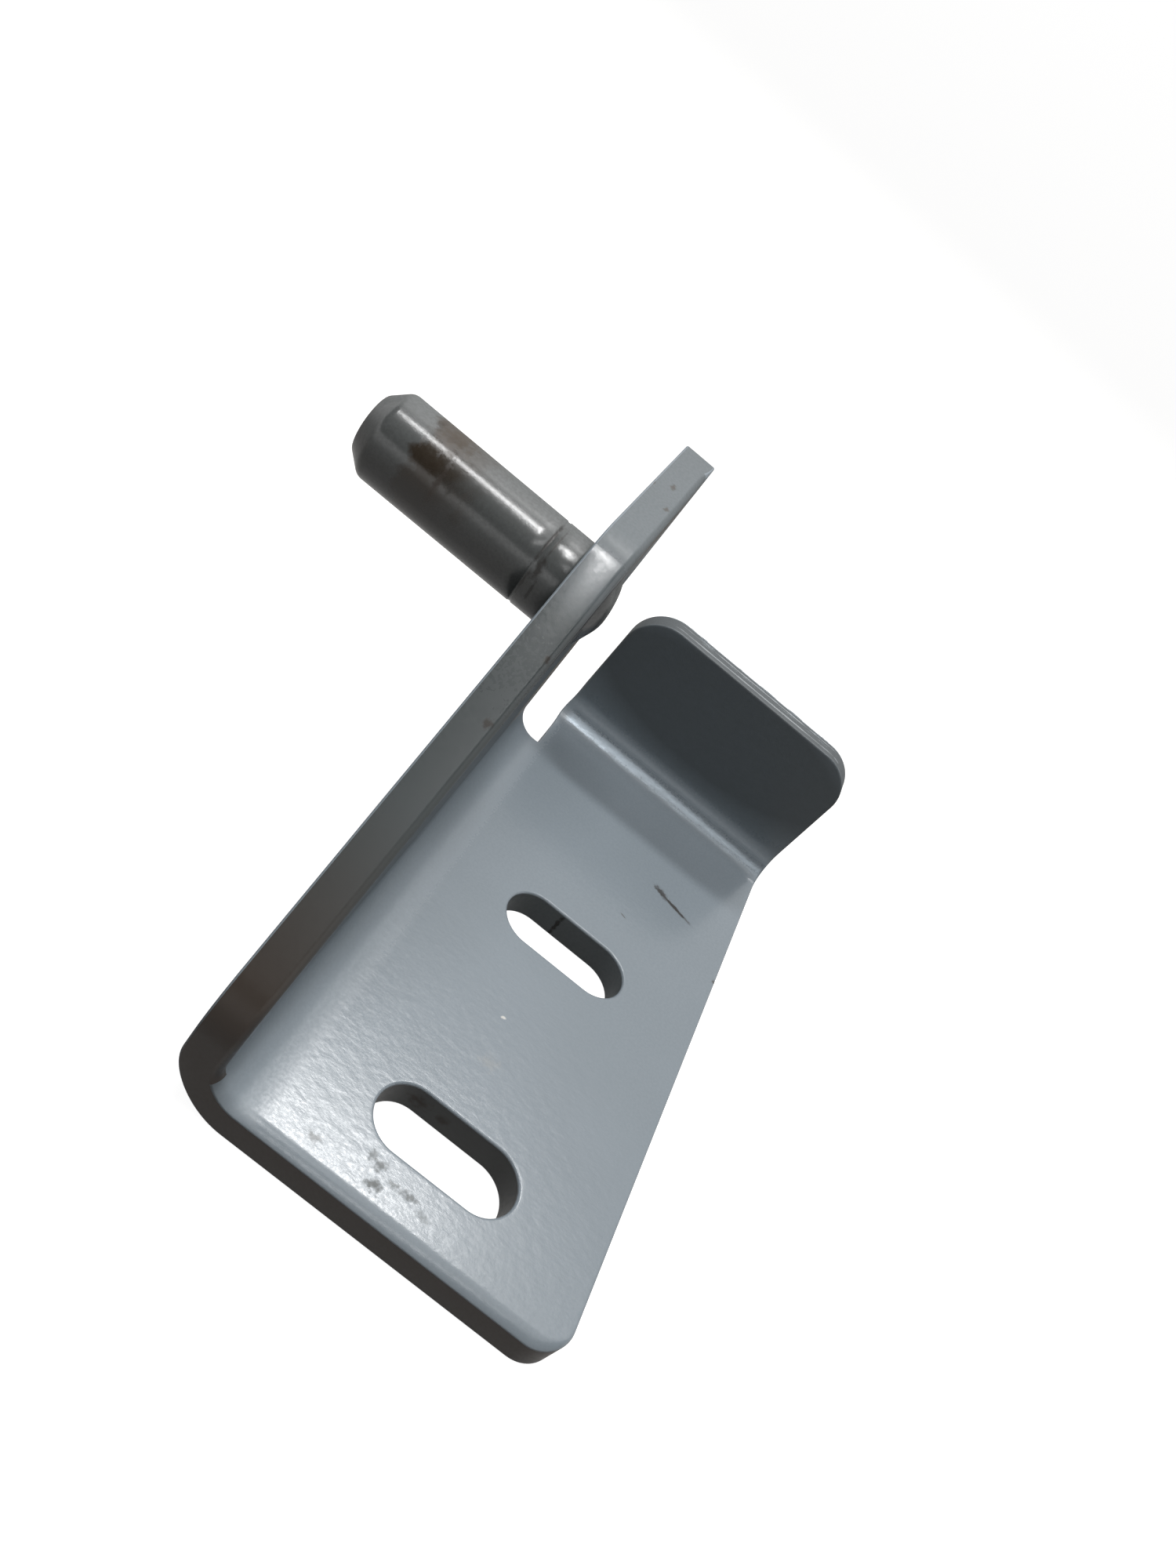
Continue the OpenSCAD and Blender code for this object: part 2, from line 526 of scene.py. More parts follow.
@dataclass(frozen=True)
class Rim:
    """Section of the plate's rim: on each side a shallow roll-over along the face, then a small rounded corner.

    Where torn is 1, the upper roll-over is bare like the sheared wall, and where it is 0 it is painted like the face.
    """

    top_roll: float = 0.15
    top_drop: float = 0.03
    top_corner: float = 0.25
    under_roll: float = 0.15
    under_drop: float = 0.03
    under_corner: float = 0.25
    torn: float = 0.0

    def towards(self, other: "Rim", share: float) -> "Rim":
        """Fades this section into another.

        Args:
            other: The section at a share of 1.
            share: From 0 to 1.

        Returns:
            The section between the two.
        """
        names = ("top_roll", "top_drop", "top_corner", "under_roll", "under_drop", "under_corner", "torn")
        return Rim(*(getattr(self, n) * (1 - share) + getattr(other, n) * share for n in names))

    def side(self, roll: float, drop: float, corner: float) -> list[tuple[float, float]]:
        """Lists one side of the section, from the face outwards.

        Args:
            roll: Length of the roll-over along the face.
            drop: Its depth where it meets the corner.
            corner: Radius of the corner.

        Returns:
            Pairs of inset from the outline and depth below the face.
        """
        slope = math.atan2(2 * drop, roll)
        foot = corner * (1 - math.sin(slope))
        points = [(foot + roll + 0.35, 0.0)]
        points += [(foot + roll * (1 - i / 6), drop * (i / 6) ** 2) for i in range(7)]
        for i in range(1, 6):
            angle = slope + (math.pi / 2 - slope) * i / 5
            points.append((corner * (1 - math.sin(angle)), drop + corner * (math.cos(slope) - math.cos(angle))))
        return points

    def section(self, thickness: float) -> list[tuple[float, float]]:
        """Lists the whole section, from the underside round to the upper face.

        Args:
            thickness: Thickness of the plate.

        Returns:
            Pairs of inset from the outline and height.
        """
        under = self.side(self.under_roll, self.under_drop, self.under_corner)
        top = self.side(self.top_roll, self.top_drop, self.top_corner)
        return under + [(inset, thickness - depth) for inset, depth in reversed(top)]


@dataclass
class FoldedPlate:
    """The plate, cut flat as a blank with its rounded rims and then folded up at the flange and at the tab."""

    thickness: float = 5.0
    flange_radius: float = 4.3
    tab_radius: float = 5.2
    thinning: float = 0.29
    bulge: float = 0.3
    bulge_reach: float = 5.0
    front_x: float = -35.45
    side_y: float = -23.8
    front_corner: float = 5.0
    flange_fold_y: float = 22.4
    flange_rear_x: float = 57.05
    tab_fold_x: float = 64.05
    tab_near_y: float = 21.4
    tab_top_near_y: float = 21.1
    tab_top_z: float = 30.8
    tab_corner: float = 7.0
    pin_x: float = 23.05
    pin_z: float = 49.3
    ear_radius: float = 10.5
    shoulder_radius: float = 10.0
    shoulder_z: float = 12.7
    slope_deg: float = 37.51
    slot_width: float = 10.0
    slot_length: float = 21.0
    slot_x: float = 21.25
    tenon_radius: float = 4.52
    rear_corner: float = 1.0
    notch_corner: float = 0.4
    tab_fade: float = 6.0
    ear_fade: float = 8.0
    bend_cuts: int = 24
    bend_margin: float = 0.8
    grid: float = 6.0
    grid_from_x: float = -30.0
    grid_from_y: float = -20.0
    plain: Rim = Rim()
    rolled: Rim = Rim(top_roll=2.0, top_drop=0.6, top_corner=0.28)
    slope_rim: Rim = Rim(top_roll=1.0, top_drop=0.6, top_corner=0.55, torn=1.0)
    tab_rim: Rim = Rim(under_roll=1.1, under_drop=0.85, under_corner=0.9)
    slot_rim: Rim = Rim(top_roll=0.25, top_drop=0.09, top_corner=0.32)

    def outside(self, radius: float) -> float:
        """Outside radius of a fold with one inside radius."""
        return self.thickness + radius

    def flat_length(self, radius: float) -> float:
        """Length that a fold with one inside radius takes up in the flat blank."""
        return (radius + self.thickness / 2) * math.pi / 2

    def up_flange(self, height: float) -> float:
        """Place in the blank of a height on the flange."""
        radius = self.flange_radius
        return self.flange_fold_y + self.flat_length(radius) + height - self.outside(radius)

    def outline(self) -> list[tuple[Vector, Rim]]:
        """Lists the blank's outline, anticlockwise from above, with the rim at each point.

        Returns:
            Points in the blank, each with its rim section.
        """
        front, side, rear = self.front_x, self.side_y, self.flange_rear_x
        tab_end = self.tab_fold_x + self.flat_length(self.tab_radius) + self.tab_top_z - self.outside(self.tab_radius)
        top = self.up_flange(self.pin_z + self.ear_radius)
        lean = 90 + self.slope_deg
        radius = self.front_corner
        points: list[tuple[Vector, Rim]] = []

        def run(path: list[Vector], first: Rim, last: Rim | None = None) -> None:
            """Adds a stretch of outline, its rim fading from the first to the last.

            Args:
                path: Points of the stretch.
                first: Rim at its start.
                last: Rim at its end, if it changes.
            """
            for index, point in enumerate(path):
                share = index / max(1, len(path) - 1)
                points.append((point, first.towards(last or first, share * share * (3 - 2 * share))))

        def line(start: tuple[float, float], end: tuple[float, float], step: float = 2.5) -> list[Vector]:
            """Samples a straight stretch.

            Args:
                start: First point, which is left out.
                end: Last point, which is left out.
                step: Largest distance between two points.

            Returns:
                The points between the two ends.
            """
            a, b = Vector(start), Vector(end)
            count = max(2, math.ceil((b - a).length / step))
            return [a.lerp(b, i / count) for i in range(1, count)]

        turn = self.tab_corner
        side_end = tab_end - turn
        near = self.tab_top_near_y
        fade_x = self.tab_fold_x + self.tab_fade
        corner, notch, fade = self.rear_corner, self.notch_corner, self.ear_fade
        run(line((front + radius, side), (fade_x, side)), self.plain)
        run(line((fade_x, side), (side_end, side)), self.plain, self.tab_rim)
        run(arc((side_end, side + turn), turn, -90, 0), self.tab_rim)
        run(line((tab_end, side + turn), (tab_end, near - turn)), self.tab_rim)
        run(arc((side_end, near - turn), turn, 0, 90), self.tab_rim)
        run(line((side_end, near), (fade_x, self.tab_near_y)), self.tab_rim, self.plain)
        run(line((fade_x, self.tab_near_y), (rear + notch, self.tab_near_y), 1.0), self.plain)
        run(list(reversed(arc((rear + notch, self.tab_near_y + notch), notch, 180, 270, 18))), self.plain)
        run(line((rear, self.tab_near_y + notch), (rear, top - corner)), self.plain)
        run(arc((rear - corner, top - corner), corner, 0, 90, 10), self.plain)
        run(line((rear - corner, top), (rear - fade, top), 0.8), self.plain, self.slope_rim)
        run(line((rear - fade, top), (self.pin_x, top)), self.slope_rim)
        ear = (self.pin_x, self.up_flange(self.pin_z))
        shoulder = (front + self.shoulder_radius, self.up_flange(self.shoulder_z))
        ear_arc = arc(ear, self.ear_radius, 90, lean, 3)
        shoulder_arc = arc(shoulder, self.shoulder_radius, lean, 180, 3)
        run(ear_arc, self.slope_rim)
        run(line(tuple(ear_arc[-1]), tuple(shoulder_arc[0])), self.slope_rim)
        run(shoulder_arc, self.slope_rim)
        run(line((front, shoulder[1]), (front, self.flange_fold_y), 0.8), self.slope_rim, self.rolled)
        run(line((front, self.flange_fold_y), (front, side + radius)), self.rolled)
        run(arc((front + radius, side + radius), radius, 180, 270), self.rolled, self.plain)
        return points

    def ring(self, mesh: BMesh, outline: list[tuple[Vector, Rim]]) -> tuple[list, list]:
        """Builds the wall along one closed outline.

        Args:
            mesh: The mesh that it goes into.
            outline: Points with their rims; the plate lies on the left.

        Returns:
            The edges of its lower and of its upper loop.
        """
        count = len(outline)
        columns = []
        for index, (point, rim) in enumerate(outline):
            before, after = outline[index - 1][0], outline[(index + 1) % count][0]
            one, two = (point - before).normalized(), (after - point).normalized()
            way = (one + two).normalized()
            inward = Vector((-way.y, way.x)) / max(0.5, way.dot(two))
            columns.append([mesh.verts.new((*(point + inward * inset), height))
                            for inset, height in rim.section(self.thickness)])
        wall = len(columns[0]) // 2
        for index, column in enumerate(columns):
            following = columns[(index + 1) % count]
            torn = outline[index][1].torn > 0.5
            for level in range(len(column) - 1):
                face = mesh.faces.new((column[level], following[level], following[level + 1], column[level + 1]))
                bare = level == wall - 1 or (torn and level >= wall)
                face.material_index = (Face.SHEARED if bare else Face.PAINTED).value
        pairs = [(columns[i], columns[(i + 1) % count]) for i in range(count)]
        return ([mesh.edges.get((a[0], b[0])) for a, b in pairs], [mesh.edges.get((a[-1], b[-1])) for a, b in pairs])

    def blank(self) -> Mesh:
        """Builds the flat blank, with extra cuts where it will bend.

        Returns:
            Its mesh, in metres.
        """
        mesh = bmesh.new()
        rings = [self.ring(mesh, self.outline())]
        radius = self.slot_width / 2
        half = self.slot_length / 2 - radius
        for centre_x in (-self.slot_x, self.slot_x):
            loop = arc((centre_x, half), radius, 180, 0) + arc((centre_x, -half), radius, 0, -180)
            rings.append(self.ring(mesh, [(p, self.slot_rim) for p in loop]))
        hole = arc((self.pin_x, self.up_flange(self.pin_z)), self.tenon_radius, 360, 7.5, 7.5)
        rings.append(self.ring(mesh, [(p, Rim(0.05, 0.01, 0.05, 0.05, 0.01, 0.05)) for p in hole]))
        for side in (0, 1):
            edges = [edge for ring in rings for edge in ring[side]]
            bmesh.ops.triangle_fill(mesh, use_beauty=True, edges=edges, normal=(0, 0, 1 if side else -1))
        count, margin, grid = self.bend_cuts, self.bend_margin, self.grid
        bends = [(self.flange_fold_y, self.flat_length(self.flange_radius), "y"),
                 (self.tab_fold_x, self.flat_length(self.tab_radius), "x")]
        cuts = [(start + length * i / count, axis) for start, length, axis in bends for i in range(count + 1)]
        cuts += [(start + extra, axis) for start, length, axis in bends for extra in (-margin, length + margin)]
        cuts += [(self.grid_from_x + grid * i, "x") for i in range(15)]
        cuts += [(self.grid_from_y + grid * i, "y") for i in range(17)]
        for place, axis in cuts:
            normal = (1, 0, 0) if axis == "x" else (0, 1, 0)
            geometry = mesh.verts[:] + mesh.edges[:] + mesh.faces[:]
            bmesh.ops.bisect_plane(mesh, geom=geometry, dist=1e-4, plane_co=Vector(normal) * place, plane_no=normal)
        bmesh.ops.recalc_face_normals(mesh, faces=mesh.faces)
        flat = smooth_mesh(mesh, "plate_blank", MM)
        sheared = flat.attributes.new("sheared", "BOOLEAN", "FACE")
        for index, polygon in enumerate(flat.polygons):
            sheared.data[index].value = polygon.material_index == Face.SHEARED.value
        return flat

    def press(self, paint: Material, edge: Material) -> Tree:
        """Builds the tree that folds the blank, first at the flange and then at the tab.

        Args:
            paint: Finish of the faces.
            edge: Finish of the sheared rims.

        Returns:
            The Geometry Nodes tree.
        """
        tree, given = shape_tree("press_folds", Float=(
            "Flange line, Flange length, Flange outside, Tab line, Tab length, Tab outside, "
            "Thickness, Thinning, Bulge, Bulge reach, Tab edge"))

        calc = partial(maths, tree)
        shape = given["Geometry"]
        for axis, fold in (("Y", "Flange"), ("X", "Tab")):
            line, length, outside = (given[f"{fold} {what}"] for what in ("line", "length", "outside"))
            place = add_node(tree, "ShaderNodeSeparateXYZ", (add_node(tree, "GeometryNodeInputPosition"),)).outputs
            across, height = place[axis], place["Z"]
            past = calc("SUBTRACT", across, line)
            angle = calc("MULTIPLY", calc("DIVIDE", past, length, use_clamp=True), math.pi / 2)
            wave = calc("SINE", calc("MULTIPLY", angle, 2.0))
            swell = calc("MULTIPLY", wave, wave)
            depth = calc("SUBTRACT", 1.0, calc("DIVIDE", height, given["Thickness"]))
            thinned = calc("MULTIPLY", calc("MULTIPLY", swell, depth), given["Thinning"])
            radius = calc("SUBTRACT", calc("SUBTRACT", outside, height), thinned)
            beyond = calc("MAXIMUM", calc("SUBTRACT", past, length), 0.0)
            parts = {"X": place["X"], "Y": place["Y"]}
            if fold == "Tab":
                near = calc("SUBTRACT", parts["Y"], given["Tab edge"])
                near = calc("DIVIDE", near, given["Bulge reach"], use_clamp=True)
                push = calc("MULTIPLY", calc("MULTIPLY", swell, near), calc("MULTIPLY_ADD", depth, -2.0, 1.0))
                parts["Y"] = calc("MULTIPLY_ADD", push, given["Bulge"], parts["Y"])
            parts[axis] = calc("MULTIPLY_ADD", radius, calc("SINE", angle), calc("MINIMUM", across, line))
            drop = calc("MULTIPLY", radius, calc("COSINE", angle))
            parts["Z"] = calc("ADD", calc("SUBTRACT", outside, drop), beyond)
            bent = add_node(tree, "ShaderNodeCombineXYZ", parts)
            shape = add_node(tree, "GeometryNodeSetPosition", {"Geometry": shape, "Position": bent})
        shape = add_node(tree, "GeometryNodeRealizeInstances", {"Geometry": shape})
        shape = add_node(tree, "GeometryNodeSetMaterial", {"Geometry": shape, "Material": paint})
        chosen = add_node(tree, "GeometryNodeInputNamedAttribute", {"Name": "sheared"}, data_type="BOOLEAN")
        shape = add_node(tree, "GeometryNodeSetMaterial", {
            "Geometry": shape, "Selection": chosen, "Material": edge})
        add_node(tree, "NodeGroupOutput", {"Geometry": shape})
        return tree

    def build(self, paint: Material, edge: Material) -> Object:
        """Builds the plate and puts it in the part's frame.

        Args:
            paint: Finish of the faces.
            edge: Finish of the sheared rims.

        Returns:
            The finished piece.
        """
        sizes = {
            "Thickness": self.thickness, "Thinning": self.thinning, "Bulge": self.bulge,
            "Bulge reach": self.bulge_reach, "Tab edge": self.tab_near_y - self.bulge_reach,
        }
        for fold, line, radius in (("Flange", self.flange_fold_y, self.flange_radius),
                                   ("Tab", self.tab_fold_x, self.tab_radius)):
            sizes[f"{fold} line"], sizes[f"{fold} length"] = line, self.flat_length(radius)
            sizes[f"{fold} outside"] = self.outside(radius)
        piece = through_nodes("painted_plate", self.blank(), self.press(paint, edge),
                              {name: size * MM for name, size in sizes.items()})
        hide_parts("folded_plate")
        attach(piece, "root")
        return piece


@dataclass
class PivotPin:
    """The pin: a turned bar with a softened bevel, a shallow groove by the flange, and a hammered head inside."""

    axis_x: float = 23.05
    axis_z: float = 49.3
    root_y: float = 31.7
    length: float = 30.5
    radius: float = 6.0
    bevel_length: float = 2.4
    bevel_depth: float = 2.1
    groove_at: float = 4.3
    groove_width: float = 0.6
    groove_depth: float = 0.12
    tenon_radius: float = 4.5
    thickness: float = 5.0
    head_radius: float = 5.3
    head_height: float = 1.5
    steps: int = 96
    sharp_deg: float = 40.0
    dent_depth: float = 0.16
    dents_per_mm: float = 0.33
    dent_start: Triple = (3.1, 0.0, 7.7)

    def profile(self) -> list[tuple[float, float]]:
        """Lists the turned profile from the free end to the crown of the head.

        Returns:
            Pairs of distance along the axis from the flange's outer face, outwards, and radius.
        """
        tip, wide = self.length, self.radius
        slant = math.atan2(self.bevel_depth, self.bevel_length)
        small = wide - self.bevel_depth
        points = [(tip, 0.0), (tip, small * 0.5), (tip, small - 1.0)]

        def corner(at: tuple[float, float], before: float, after: float, radius: float) -> None:
            """Rounds a corner of the profile.

            Args:
                at: The sharp corner.
                before: Direction that the profile comes in, in radians from the axis.
                after: Direction that it goes on.
                radius: Radius of the rounding.
            """
            cut = radius * math.tan(abs(after - before) / 2)
            for i in range(7):
                share = i / 6
                a = (at[0] - math.cos(before) * cut * (1 - share), at[1] - math.sin(before) * cut * (1 - share))
                b = (at[0] + math.cos(after) * cut * share, at[1] + math.sin(after) * cut * share)
                points.append((a[0] * (1 - share) + b[0] * share, a[1] * (1 - share) + b[1] * share))

        corner((tip, small), math.pi / 2, math.pi - slant, 0.7)
        corner((tip - self.bevel_length, wide), math.pi - slant, math.pi, 1.6)
        points += [(tip - 5.0, wide), (self.groove_at + 2.0, wide)]
        half = self.groove_width / 2
        for out, depth in ((1.0, 0.0), (0.5, 0.8), (0.0, 1.0), (-0.5, 0.8), (-1.0, 0.0)):
            points.append((self.groove_at + half * out, wide - self.groove_depth * depth))
        points += [(2.0, wide), (0.5, wide), (0.15, wide - 0.06), (0.0, wide - 0.2), (0.0, self.tenon_radius)]
        points += [(-self.thickness, self.tenon_radius), (-self.thickness, self.head_radius)]
        ball = (self.head_radius ** 2 + self.head_height ** 2) / (2 * self.head_height)
        reach = math.asin(self.head_radius / ball)
        for i in range(1, 13):
            angle = reach * (1 - i / 12)
            points.append((-self.thickness - self.head_height + ball * (1 - math.cos(angle)), ball * math.sin(angle)))
        return points

    def dent(self, point: Vector, along: float) -> Vector:
        """Moves a point of the hammered head in by the hammer's facets.

        Args:
            point: The point in the part's frame.
            along: Distance of the point outwards from the flange's outer face.

        Returns:
            The moved point.
        """
        if along > -self.thickness - 0.15:
            return point
        push = self.dent_depth * (0.5 + noise.noise(point * self.dents_per_mm + Vector(self.dent_start)))
        return point + Vector((0, max(0.0, push), 0))

    def build(self, steel: Material) -> Object:
        """Turns the pin and puts it in the part's frame.

        Args:
            steel: Its finish.

        Returns:
            The finished piece.
        """
        mesh = bmesh.new()
        rows = []
        for along, radius in self.profile():
            row = []
            for i in range(self.steps):
                turn = 2 * math.pi * i / self.steps
                point = Vector((self.axis_x + radius * math.cos(turn), self.root_y + along,
                                self.axis_z + radius * math.sin(turn)))
                row.append(mesh.verts.new(self.dent(point, along)))
            rows.append(row)
        for one, two in zip(rows, rows[1:]):
            for i in range(self.steps):
                j = (i + 1) % self.steps
                mesh.faces.new((one[i], one[j], two[j], two[i]))
        bmesh.ops.remove_doubles(mesh, verts=mesh.verts, dist=1e-5)
        bmesh.ops.recalc_face_normals(mesh, faces=mesh.faces)
        for edge in mesh.edges:
            edge.smooth = edge.calc_face_angle(0.0) <= math.radians(self.sharp_deg)
        turned = smooth_mesh(mesh, "pin", MM)
        turned.materials.append(steel)
        piece = finished("steel_pin", turned)
        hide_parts("pivot_pin")
        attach(piece, "root")
        return piece


@dataclass
class ShearLines:
    """Broken ridges of torn metal under the paint, along the top edge of the tab."""

    start_y: float = 13.6
    end_y: float = -16.2
    first_x: float = 73.1
    spacing: float = 0.75
    count: int = 3
    top_z: float = 30.72
    ridge_radius: float = 0.13
    samples: int = 160
    wander: float = 0.7
    grain_per_m: Triple = (900.0, 260.0, 1.0)
    broken: tuple[float, float] = (0.40, 0.58)
    seed: int = 4

    def tree(self, paint: Material) -> Tree:
        """Builds the tree that lays the ridges side by side and breaks them up.

        Args:
            paint: Finish of the ridges.

        Returns:
            The Geometry Nodes tree.
        """
        tree, given = shape_tree("shear_lines", Int="Count", Vector="Start, Offset", Float="Length, Radius, Seed")
        rows = add_node(tree, "GeometryNodeMeshLine", {
            "Count": given["Count"], "Start Location": given["Start"], "Offset": given["Offset"]})
        end = add_node(tree, "ShaderNodeCombineXYZ", {"Y": given["Length"]})
        path = add_node(tree, "GeometryNodeCurvePrimitiveLine", {"End": end})
        path = add_node(tree, "GeometryNodeResampleCurve", {"Curve": path, "Count": self.samples})
        laid = add_node(tree, "GeometryNodeInstanceOnPoints", {"Points": rows, "Instance": path})
        laid = add_node(tree, "GeometryNodeRealizeInstances", {"Geometry": laid})
        where = add_node(tree, "GeometryNodeInputPosition")
        stretch = maths(tree, "MULTIPLY", where, self.grain_per_m, kind="VectorMath")
        grain = add_node(tree, "ShaderNodeTexNoise", {
            "Vector": stretch, "W": given["Seed"], "Scale": 1.0, "Detail": 3.0}, noise_dimensions="4D").outputs
        wander = maths(tree, "SUBTRACT", grain["Color"], (0.5, 0.5, 0.5), kind="VectorMath")
        wander = maths(tree, "MULTIPLY", wander, (self.wander * MM, 0.0, 0.0), kind="VectorMath")
        laid = add_node(tree, "GeometryNodeSetPosition", {"Geometry": laid, "Offset": wander})
        height = add_node(tree, "ShaderNodeMapRange", (grain["Fac"], *self.broken, 0.02), clamp=True)
        size = maths(tree, "MULTIPLY", height, given["Radius"])
        outline = add_node(tree, "GeometryNodeCurvePrimitiveCircle", {"Resolution": 8, "Radius": 1.0})
        shape = add_node(tree, "GeometryNodeCurveToMesh", {
            "Curve": laid, "Profile Curve": outline, "Scale": size, "Fill Caps": True})
        shape = add_node(tree, "GeometryNodeSetShadeSmooth", {"Geometry": shape})
        shape = add_node(tree, "GeometryNodeRealizeInstances", {"Geometry": shape})
        shape = add_node(tree, "GeometryNodeSetMaterial", {"Geometry": shape, "Material": paint})
        add_node(tree, "NodeGroupOutput", {"Geometry": shape})
        return tree

    def build(self, paint: Material) -> Object:
        """Lays the ridges on the tab.

        Args:
            paint: Their finish.

        Returns:
            The finished piece.
        """
        piece = through_nodes("tab_shear_lines", bpy.data.meshes.new("ridges"), self.tree(paint), {
            "Count": self.count,
            "Start": (self.first_x * MM, self.end_y * MM, self.top_z * MM),
            "Offset": (-self.spacing * MM, 0.0, 0.0),
            "Length": (self.start_y - self.end_y) * MM,
            "Radius": self.ridge_radius * MM,
            "Seed": float(self.seed),
        })
        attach(piece, "root")
        return piece


@dataclass(frozen=True)
class Softbox:
    """One area lamp: its place and size in metres, and the direction that its first side runs in."""

    name: str
    place: Triple
    target: Triple
    along: Triple
    size: tuple[float, float]
    power: float

    def frame(self) -> Matrix:
        """Turns the lamp's face to its target, with its first side as near to its direction as that allows.

        Returns:
            The lamp's matrix.
        """
        back = (Vector(self.place) - Vector(self.target)).normalized()
        side = Vector(self.along)
        side = (side - back * side.dot(back)).normalized()
        return Matrix.Translation(self.place) @ Matrix((side, back.cross(side), back)).transposed().to_4x4()


@dataclass
class Studio:
    """A pale floor that sweeps up into a backdrop, six soft lamps, a dim warm room and the camera."""

    floor_radius: float = 1.1
    floor_rings: tuple[float, ...] = (0.25, 0.6)
    curve_radius: float = 0.3
    steps: int = 96
    bend_steps: int = 16
    floor_sheen: float = 0.4
    floor_glow: float = 0.96
    wall_glow: float = 0.06
    paper: str = "#A8A6A2"
    bounce: str = "#332E29"
    room: str = "#2E2A27"
    wall_deg: float = 25.0
    high_wall_deg: float = 54.0
    lamps: tuple[Softbox, ...] = (
        Softbox("key_lamp", (1.301, -0.068, 2.134), (0.0, 0.0, 0.0), (0.0, 1.0, 0.0), (0.80, 0.18), 19.0),
        Softbox("window", (1.46, -0.36, 1.997), (0.0, 0.0, 0.0), (0.24, 0.97, 0.0), (1.1, 0.5), 7.0),
        Softbox("ceiling_lamp", (0.09, -0.11, 0.50), (0.03, 0.0, 0.0), (1.0, 0.0, 0.0), (0.26, 0.26), 0.32),
        Softbox("ear_lamp", (0.0, 0.043, 0.35), (0.015, 0.030, 0.057), (1.0, 0.0, 0.0), (0.096, 0.03), 0.22),
        Softbox("pin_lamp", (0.015, 0.096, 0.35), (0.020, 0.048, 0.055), (1.0, 0.0, 0.0), (0.045, 0.095), 0.24),
        Softbox("front_lamp", (-0.095, -0.040, 0.30), (0.067, 0.0, 0.006), (0.76, -0.65, 0.0), (0.16, 0.04), 0.085),
    )
    camera_place: Triple = (-0.111707, 0.024408, 0.121886)
    camera_right: Triple = (0.366260, -0.776097, 0.513349)
    camera_up: Triple = (0.530625, 0.627393, 0.569925)
    camera_back: Triple = (-0.764389, 0.063655, 0.641606)
    lens: float = 27.8646
    shift: tuple[float, float] = (0.04724, 0.05292)

    def wall_height(self, turn: float) -> float:
        """Height of the backdrop's rim in one direction; it is highest behind the part, as the camera sees it."""
        lift = max(0.0, math.cos(turn)) ** 0.6
        return self.floor_radius * math.tan(math.radians(self.wall_deg + (self.high_wall_deg - self.wall_deg) * lift))

    def sweep(self) -> Object:
        """Builds the floor and backdrop.

        Returns:
            The finished stage piece.
        """
        mesh = bmesh.new()
        steps, bend, curve = self.steps, self.bend_steps, self.curve_radius
        flat = self.floor_radius - curve
        rings = [(radius, 0.0) for radius in (*self.floor_rings, flat)]
        for k in range(1, bend + 1):
            angle = math.pi / 2 * k / bend
            rings.append((flat + curve * math.sin(angle), curve * (1 - math.cos(angle))))
        rings.append((self.floor_radius, None))
        rows = [[mesh.verts.new((0, 0, 0))]]
        for radius, height in rings:
            row = []
            for turn in (2 * math.pi * i / steps for i in range(steps)):
                rise = max(curve + 0.01, self.wall_height(turn)) if height is None else height
                row.append(mesh.verts.new((radius * math.cos(turn), radius * math.sin(turn), rise)))
            rows.append(row)
        for i in range(steps):
            j = (i + 1) % steps
            mesh.faces.new((rows[0][0], rows[1][i], rows[1][j]))
            for one, two in zip(rows[1:], rows[2:]):
                mesh.faces.new((one[i], two[i], two[j], one[j]))
        made = smooth_mesh(mesh, "sweep")
        made.materials.append(self.sweep_material())
        piece = finished("studio_sweep", made)
        return piece

    def sweep_material(self) -> Material:
        """Builds the matt pale paper of the floor: white to the eye and in reflections, dim where it only bounces.

        Returns:
            The material.
        """
        made = bpy.data.materials.new("matt_backdrop_paper")
        tree = emptied(made)
        path = add_node(tree, "ShaderNodeLightPath").outputs
        place = add_node(tree, "ShaderNodeNewGeometry").outputs["Position"]
        height = add_node(tree, "ShaderNodeSeparateXYZ", (place,)).outputs["Z"]
        wall = add_node(tree, "ShaderNodeMapRange", (height, 0.0, self.curve_radius), clamp=True)
        floor = self.floor_sheen
        sheen = maths(tree, "MULTIPLY_ADD", wall, 1 - floor, floor)
        sheen = maths(tree, "MULTIPLY", sheen, path["Is Glossy Ray"])
        seen = maths(tree, "MAXIMUM", path["Is Camera Ray"], sheen)
        seen = maths(tree, "MAXIMUM", seen, path["Is Transmission Ray"])
        power = maths(tree, "MULTIPLY_ADD", wall, self.wall_glow, self.floor_glow)
        paper = add_node(tree, "ShaderNodeBsdfDiffuse", {"Color": linear(self.paper)})
        glow = add_node(tree, "ShaderNodeEmission", {"Color": linear("#FFFFFF"), "Strength": power})
        white = add_node(tree, "ShaderNodeAddShader", (paper, glow))
        dim = add_node(tree, "ShaderNodeBsdfDiffuse", {"Color": linear(self.bounce)})
        mixed = add_node(tree, "ShaderNodeMixShader", (seen, dim, white))
        add_node(tree, "ShaderNodeOutputMaterial", {"Surface": mixed})
        return made

    def light(self) -> None:
        """Places the lamps and sets the dim room."""
        for lamp in self.lamps:
            data = bpy.data.lights.new(lamp.name, "AREA")
            data.shape = "RECTANGLE"
            data.size, data.size_y = lamp.size
            data.energy = lamp.power
            holder = bpy.data.objects.new(lamp.name, data)
            bpy.context.scene.collection.objects.link(holder)
            holder.visible_camera = False
            holder.matrix_world = lamp.frame()
        world = bpy.data.worlds.new("dim_room")
        tree = emptied(world)
        glow = add_node(tree, "ShaderNodeBackground", {"Color": linear(self.room), "Strength": 1.0})
        add_node(tree, "ShaderNodeOutputWorld", {"Surface": glow})
        bpy.context.scene.world = world
        bpy.context.scene.view_settings.view_transform = "Standard"

